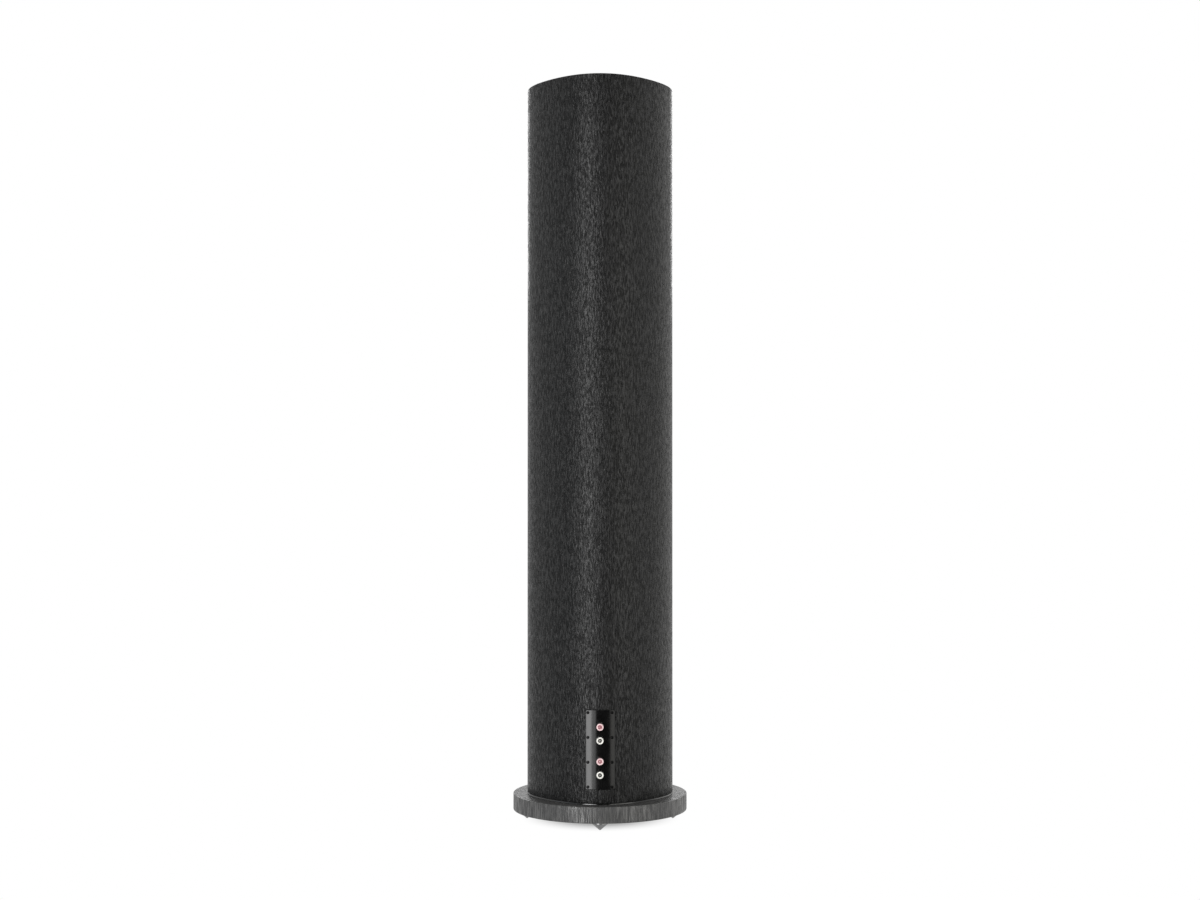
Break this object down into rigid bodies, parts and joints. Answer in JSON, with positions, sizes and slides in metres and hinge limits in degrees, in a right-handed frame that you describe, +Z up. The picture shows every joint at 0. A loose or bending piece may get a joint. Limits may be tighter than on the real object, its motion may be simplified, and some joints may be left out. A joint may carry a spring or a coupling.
{
  "type": "floor-standing loudspeaker",
  "caption": "Tall black-ash loudspeaker with a curved back, bi-wire terminals low on the back, and a rounded plinth on spikes.",
  "frame": {"origin": "on the floor, under the middle of the cabinet", "axes": "+Z up along the cabinet's height; the drivers face -Y and the terminals face +Y"},
  "size_m": [0.256, 0.2579, 1.0719],
  "materials": {
    "veneer": "black-stained ash veneer, satin, open grain running upright",
    "board": "raw wood-fibre board",
    "wadding": "white polyester wadding",
    "gloss": "gloss black",
    "panel_gloss": "gloss black moulded plastic",
    "plinth_wood": "grey-black stained wood with upright streaks on its edge, satin",
    "spike_steel": "satin turned steel",
    "screw_steel": "blackened steel",
    "nickel": "bright nickel plating",
    "plug_red": "dusty red moulded plastic",
    "plug_black": "black moulded plastic",
    "driver_black": "fine-textured black",
    "cone_paper": "coated black paper",
    "surround_rubber": "matt black rubber",
    "ferrite": "dark grey sintered ferrite",
    "dome_silk": "coated black silk",
    "grille_plastic": "black moulded frame",
    "grille_fabric": "black knitted grille cloth",
    "circuit": "green circuit board",
    "copper": "enamelled copper wire",
    "capacitor_black": "black film capacitor sleeve"
  },
  "bodies": {
    "cabinet": {"cabinet_shell": "veneer", "top_panel": "veneer", "bottom_panel": "veneer", "front_baffle": "veneer", "brace_upper": "board", "brace_lower": "board", "chamber_divider": "board", "damping_pad": "wadding", "base_plate": "gloss", "plinth": "plinth_wood", "terminal_panel": "panel_gloss", "panel_screw_1": "screw_steel", "panel_screw_2": "screw_steel", "panel_screw_3": "screw_steel", "panel_screw_4": "screw_steel", "panel_screw_5": "screw_steel", "panel_screw_6": "screw_steel", "panel_screw_7": "screw_steel", "panel_screw_8": "screw_steel", "post_stud_high_red": "nickel", "post_stud_high_black": "nickel", "post_stud_low_red": "nickel", "post_stud_low_black": "nickel", "midrange_basket": "driver_black", "midrange_surround": "surround_rubber", "midrange_magnet": "ferrite", "woofer_upper_basket": "driver_black", "woofer_upper_surround": "surround_rubber", "woofer_upper_magnet": "ferrite", "woofer_lower_basket": "driver_black", "woofer_lower_surround": "surround_rubber", "woofer_lower_magnet": "ferrite", "tweeter_faceplate": "driver_black", "tweeter_magnet": "ferrite", "port_tube": "driver_black", "crossover_board": "circuit", "crossover_coil": "copper", "crossover_capacitor": "capacitor_black"},
    "grille": {"grille_frame": "grille_plastic", "grille_cloth": "grille_fabric"},
    "woofer_upper": {"woofer_upper_cone": "cone_paper"},
    "woofer_lower": {"woofer_lower_cone": "cone_paper"},
    "midrange": {"midrange_cone": "cone_paper"},
    "tweeter": {"tweeter_dome": "dome_silk"},
    "washer_high_red": {"post_washer_high_red": "nickel"},
    "cap_high_red": {"post_cap_high_red": "nickel"},
    "plug_high_red": {"post_plug_high_red": "plug_red"},
    "washer_high_black": {"post_washer_high_black": "nickel"},
    "cap_high_black": {"post_cap_high_black": "nickel"},
    "plug_high_black": {"post_plug_high_black": "plug_black"},
    "washer_low_red": {"post_washer_low_red": "nickel"},
    "cap_low_red": {"post_cap_low_red": "nickel"},
    "plug_low_red": {"post_plug_low_red": "plug_red"},
    "washer_low_black": {"post_washer_low_black": "nickel"},
    "cap_low_black": {"post_cap_low_black": "nickel"},
    "plug_low_black": {"post_plug_low_black": "plug_black"},
    "spike_back": {"spike_back": "spike_steel"},
    "spike_left": {"spike_left": "spike_steel"},
    "spike_right": {"spike_right": "spike_steel"},
    "spike_front": {"spike_front": "spike_steel"}
  },
  "joints": [
    {"name": "grille_pull", "type": "slide", "parent": "cabinet", "child": "grille", "axis": [0, -1, 0], "range_m": [0, 0.04]},
    {"name": "woofer_upper_travel", "type": "slide", "parent": "cabinet", "child": "woofer_upper", "axis": [0, -1, 0], "range_m": [-0.004, 0.004], "stiffness_N_per_m": 900},
    {"name": "woofer_lower_travel", "type": "slide", "parent": "cabinet", "child": "woofer_lower", "axis": [0, -1, 0], "range_m": [-0.004, 0.004], "stiffness_N_per_m": 900},
    {"name": "midrange_travel", "type": "slide", "parent": "cabinet", "child": "midrange", "axis": [0, -1, 0], "range_m": [-0.002, 0.002], "stiffness_N_per_m": 1200},
    {"name": "tweeter_travel", "type": "slide", "parent": "cabinet", "child": "tweeter", "axis": [0, -1, 0], "range_m": [-0.0004, 0.0004], "stiffness_N_per_m": 2000},
    {"name": "washer_high_red_slide", "type": "slide", "parent": "cabinet", "child": "washer_high_red", "axis": [0, 1, 0], "range_m": [0, 0.004]},
    {"name": "cap_high_red_turn", "type": "hinge", "parent": "washer_high_red", "child": "cap_high_red", "pos_m": [0, 0.115, 0.14772], "axis": [0, 1, 0], "range_deg": [0, 1440]},
    {"name": "plug_high_red_pull", "type": "slide", "parent": "cabinet", "child": "plug_high_red", "axis": [0, 1, 0], "range_m": [0, 0.012]},
    {"name": "washer_high_black_slide", "type": "slide", "parent": "cabinet", "child": "washer_high_black", "axis": [0, 1, 0], "range_m": [0, 0.004]},
    {"name": "cap_high_black_turn", "type": "hinge", "parent": "washer_high_black", "child": "cap_high_black", "pos_m": [0, 0.115, 0.12868], "axis": [0, 1, 0], "range_deg": [0, 1440]},
    {"name": "plug_high_black_pull", "type": "slide", "parent": "cabinet", "child": "plug_high_black", "axis": [0, 1, 0], "range_m": [0, 0.012]},
    {"name": "washer_low_red_slide", "type": "slide", "parent": "cabinet", "child": "washer_low_red", "axis": [0, 1, 0], "range_m": [0, 0.004]},
    {"name": "cap_low_red_turn", "type": "hinge", "parent": "washer_low_red", "child": "cap_low_red", "pos_m": [0, 0.115, 0.09942], "axis": [0, 1, 0], "range_deg": [0, 1440]},
    {"name": "plug_low_red_pull", "type": "slide", "parent": "cabinet", "child": "plug_low_red", "axis": [0, 1, 0], "range_m": [0, 0.012]},
    {"name": "washer_low_black_slide", "type": "slide", "parent": "cabinet", "child": "washer_low_black", "axis": [0, 1, 0], "range_m": [0, 0.004]},
    {"name": "cap_low_black_turn", "type": "hinge", "parent": "washer_low_black", "child": "cap_low_black", "pos_m": [0, 0.115, 0.08038], "axis": [0, 1, 0], "range_deg": [0, 1440]},
    {"name": "plug_low_black_pull", "type": "slide", "parent": "cabinet", "child": "plug_low_black", "axis": [0, 1, 0], "range_m": [0, 0.012]},
    {"name": "spike_back_adjust", "type": "slide", "parent": "cabinet", "child": "spike_back", "axis": [0, 0, -1], "range_m": [0, 0.005]},
    {"name": "spike_left_adjust", "type": "slide", "parent": "cabinet", "child": "spike_left", "axis": [0, 0, -1], "range_m": [0, 0.005]},
    {"name": "spike_right_adjust", "type": "slide", "parent": "cabinet", "child": "spike_right", "axis": [0, 0, -1], "range_m": [0, 0.005]},
    {"name": "spike_front_adjust", "type": "slide", "parent": "cabinet", "child": "spike_front", "axis": [0, 0, -1], "range_m": [0, 0.005]}
  ],
  "couplings": [
    {"joint": "washer_high_red_slide", "follows": "cap_high_red_turn", "m_per_rad": 0.000159},
    {"joint": "washer_high_black_slide", "follows": "cap_high_black_turn", "m_per_rad": 0.000159},
    {"joint": "washer_low_red_slide", "follows": "cap_low_red_turn", "m_per_rad": 0.000159},
    {"joint": "washer_low_black_slide", "follows": "cap_low_black_turn", "m_per_rad": 0.000159}
  ]
}
